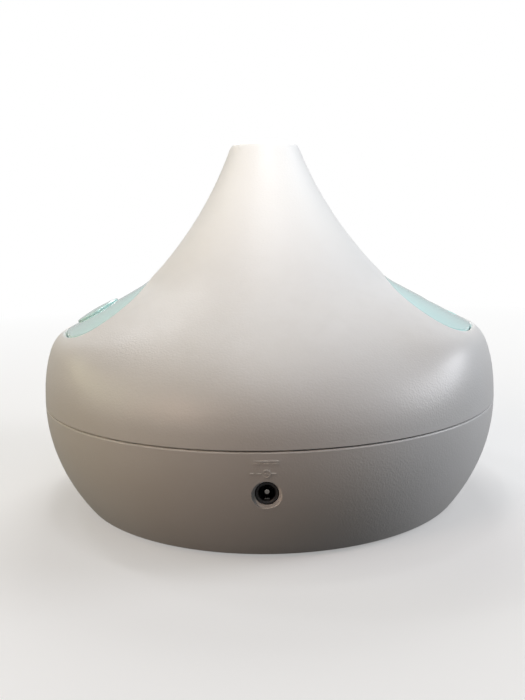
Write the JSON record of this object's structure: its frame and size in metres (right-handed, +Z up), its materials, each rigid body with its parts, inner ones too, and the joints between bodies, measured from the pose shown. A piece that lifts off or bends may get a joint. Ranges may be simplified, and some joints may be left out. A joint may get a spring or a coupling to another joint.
{
  "type": "cool mist humidifier",
  "caption": "Drop-shaped ultrasonic cool mist humidifier: round base with water basin and supply inlet, lift-off hood rising to a mist outlet, and glossy control pads in its shoulders.",
  "frame": {"origin": "on the table under the middle of the hood, at the lowest face of the rubber feet", "axes": "+Z up through the mist outlet, +Y towards the rear face with the supply inlet, +X through the pad with the raised button"},
  "size_m": [0.19, 0.1902, 0.1466],
  "materials": {
    "white_shell": "fine grained moulded white plastic",
    "aqua_gloss": "glossy aqua moulded plastic",
    "black_plastic": "black moulded plastic",
    "nickel_pin": "bright nickel plate",
    "screw_steel": "zinc plated steel",
    "rubber": "matt grey rubber",
    "circuit_board": "green solder mask",
    "component_body": "moulded component bodies",
    "copper_coil": "enamelled copper winding",
    "frosted_plastic": "natural frosted plastic",
    "basin_plastic": "white basin plastic",
    "ceramic_disc": "piezo ceramic with silvered face",
    "lamp_lens": "lamp bodies with clear domes",
    "lead_sleeve": "insulated stranded wire",
    "spring_steel": "spring wire",
    "magnet": "nickel plated magnet",
    "float_plastic": "foamed white plastic"
  },
  "bodies": {
    "base": {"lower_housing": "white_shell", "bottom_cover": "white_shell", "rubber_feet": "rubber", "housing_screws": "screw_steel", "dc_jack": "black_plastic", "dc_jack_pin": "nickel_pin", "jack_board": "circuit_board", "jack_screws": "screw_steel", "main_board": "circuit_board", "board_parts": "component_body", "board_screws": "screw_steel", "fan_frame": "black_plastic", "fan_stator": "copper_coil", "fan_screws": "screw_steel", "air_duct": "frosted_plastic", "basin": "basin_plastic", "basin_gasket": "rubber", "basin_screws": "screw_steel", "disc_seal": "rubber", "transducer_disc": "ceramic_disc", "disc_clamp": "black_plastic", "clamp_screws": "screw_steel", "led_board": "circuit_board", "led_lamps": "lamp_lens", "led_screws": "screw_steel", "float_cap": "basin_plastic", "float_sensor": "circuit_board", "power_lead": "lead_sleeve", "transducer_lead": "lead_sleeve", "fan_lead": "lead_sleeve", "mist_button_sensor": "circuit_board", "light_button_sensor": "circuit_board"},
    "hood": {"hood": "white_shell", "mist_chimney": "frosted_plastic", "chimney_seal": "rubber", "outlet_ring": "aqua_gloss", "mist_pad": "aqua_gloss", "light_pad": "aqua_gloss", "mist_button_spring": "spring_steel", "light_button_spring": "spring_steel"},
    "mist_button": {"mist_button": "aqua_gloss", "mist_button_magnet": "magnet"},
    "light_button": {"light_button": "aqua_gloss", "light_button_magnet": "magnet"},
    "float": {"level_float": "float_plastic", "float_magnet": "magnet"},
    "fan": {"fan_rotor": "black_plastic", "fan_shaft": "screw_steel"}
  },
  "joints": [
    {"name": "hood_lift", "type": "slide", "parent": "base", "child": "hood", "axis": [0, 0, 1], "range_m": [0, 0.12]},
    {"name": "mist_button_press", "type": "slide", "parent": "hood", "child": "mist_button", "axis": [-0.4749, 0, -0.88], "range_m": [0, 0.0015], "stiffness_N_per_m": 900, "springref_m": -0.001, "deforming": ["mist_button_spring"]},
    {"name": "light_button_press", "type": "slide", "parent": "hood", "child": "light_button", "axis": [0.4749, 0, -0.88], "range_m": [0, 0.0015], "stiffness_N_per_m": 900, "springref_m": -0.001, "deforming": ["light_button_spring"]},
    {"name": "float_rise", "type": "slide", "parent": "base", "child": "float", "axis": [0, 0, 1], "range_m": [0, 0.008]},
    {"name": "fan_spin", "type": "hinge", "parent": "base", "child": "fan", "pos_m": [0, -0.046, 0.0055], "axis": [0, 0, 1], "continuous": true}
  ]
}
